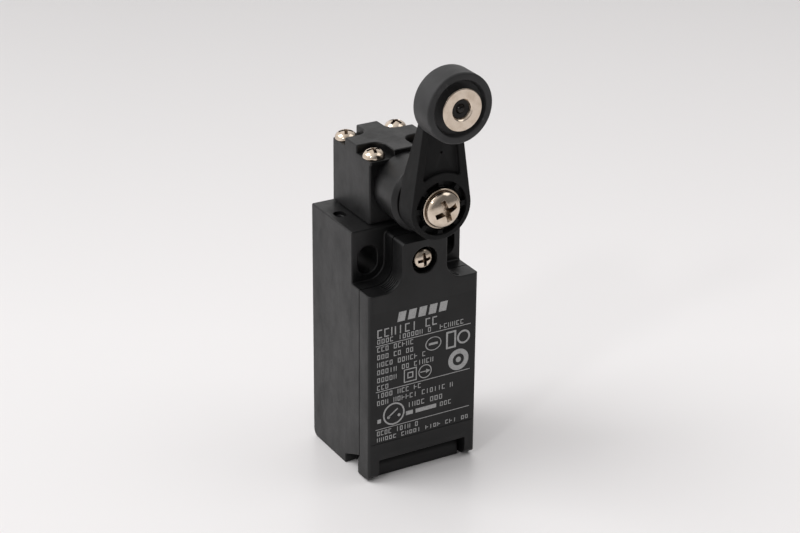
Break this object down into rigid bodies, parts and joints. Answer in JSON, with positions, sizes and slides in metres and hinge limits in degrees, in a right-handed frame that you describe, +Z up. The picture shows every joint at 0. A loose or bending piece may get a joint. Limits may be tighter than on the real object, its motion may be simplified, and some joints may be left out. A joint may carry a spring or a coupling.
{
  "type": "limit switch",
  "caption": "Compact limit switch with a moulded box body, hinged front cover, square head and a roller lever on a rotary shaft.",
  "frame": {"origin": "on the back mounting face, midway between the two fixing slots", "axes": "+Y out of the mounting face, so the cover and lever face -Y; +Z up towards the head and roller; +X across the width"},
  "size_m": [0.031, 0.0461, 0.1118],
  "materials": {
    "case_plastic": "satin black moulded plastic with a fine texture",
    "lever_plastic": "satin black moulded plastic",
    "roller_plastic": "dull dark grey plastic",
    "nickel_steel": "bright nickel plate",
    "shaft_steel": "ground steel",
    "spring_steel": "drawn wire",
    "seal_rubber": "dull black",
    "bearing_plastic": "smooth natural acetal",
    "block_plastic": "moulded tan plastic",
    "brass": "plain"
  },
  "bodies": {
    "case": {"block_screw_left": "nickel_steel", "block_screw_right": "nickel_steel", "cap_seal": "seal_rubber", "clamp_washer_lower_left": "nickel_steel", "clamp_washer_lower_right": "nickel_steel", "clamp_washer_upper_left": "nickel_steel", "clamp_washer_upper_right": "nickel_steel", "contact_base": "block_plastic", "contact_lid": "block_plastic", "head_block": "case_plastic", "head_cap": "case_plastic", "head_screw_back_left": "nickel_steel", "head_screw_back_right": "nickel_steel", "head_screw_front_left": "nickel_steel", "head_screw_front_right": "nickel_steel", "head_seal": "seal_rubber", "housing": "case_plastic", "plunger_guide": "bearing_plastic", "plunger_seal": "seal_rubber", "return_spring": "spring_steel", "shaft_bush": "bearing_plastic", "shaft_seal": "seal_rubber", "slider_spring": "spring_steel", "terminal_lower_left": "brass", "terminal_lower_right": "brass", "terminal_screw_lower_left": "nickel_steel", "terminal_screw_lower_right": "nickel_steel", "terminal_screw_upper_left": "nickel_steel", "terminal_screw_upper_right": "nickel_steel", "terminal_upper_left": "brass", "terminal_upper_right": "brass"},
    "cover": {"front_cover": "case_plastic", "cover_seal": "seal_rubber", "cover_screw": "nickel_steel", "cover_screw_seal": "seal_rubber"},
    "lever": {"rotary_shaft": "shaft_steel", "cam": "bearing_plastic", "lever_arm": "lever_plastic", "lever_washer": "nickel_steel", "lever_screw": "nickel_steel", "roller_pin": "nickel_steel", "roller_washer": "nickel_steel"},
    "roller": {"roller": "roller_plastic"},
    "plunger": {"plunger": "bearing_plastic"},
    "contact_carrier": {"contact_slider": "bearing_plastic", "upper_bridge": "brass", "lower_bridge": "brass", "upper_bridge_spring": "spring_steel", "lower_bridge_spring": "spring_steel"}
  },
  "joints": [
    {"name": "lever_turn", "type": "hinge", "parent": "case", "child": "lever", "pos_m": [0, -0.0309, 0.01765], "axis": [0, 1, 0], "range_deg": [-75, 75], "stiffness_Nm_per_rad": 0.05},
    {"name": "roller_spin", "type": "hinge", "parent": "lever", "child": "roller", "pos_m": [0, -0.03795, 0.0455], "axis": [0, 1, 0], "continuous": true},
    {"name": "cover_hinge", "type": "hinge", "parent": "case", "child": "cover", "pos_m": [0, -0.0247, -0.0552], "axis": [1, 0, 0], "range_deg": [0, 90]},
    {"name": "plunger_push", "type": "slide", "parent": "case", "child": "plunger", "axis": [0, 0, -1], "range_m": [0, 0.0025], "stiffness_N_per_m": 1000, "springref_m": -0.0005, "deforming": ["return_spring"]},
    {"name": "carrier_push", "type": "slide", "parent": "case", "child": "contact_carrier", "axis": [0, 0, -1], "range_m": [0, 0.0025], "deforming": ["slider_spring"]}
  ],
  "couplings": [
    {"joint": "carrier_push", "follows": "plunger_push", "ratio": 1}
  ]
}
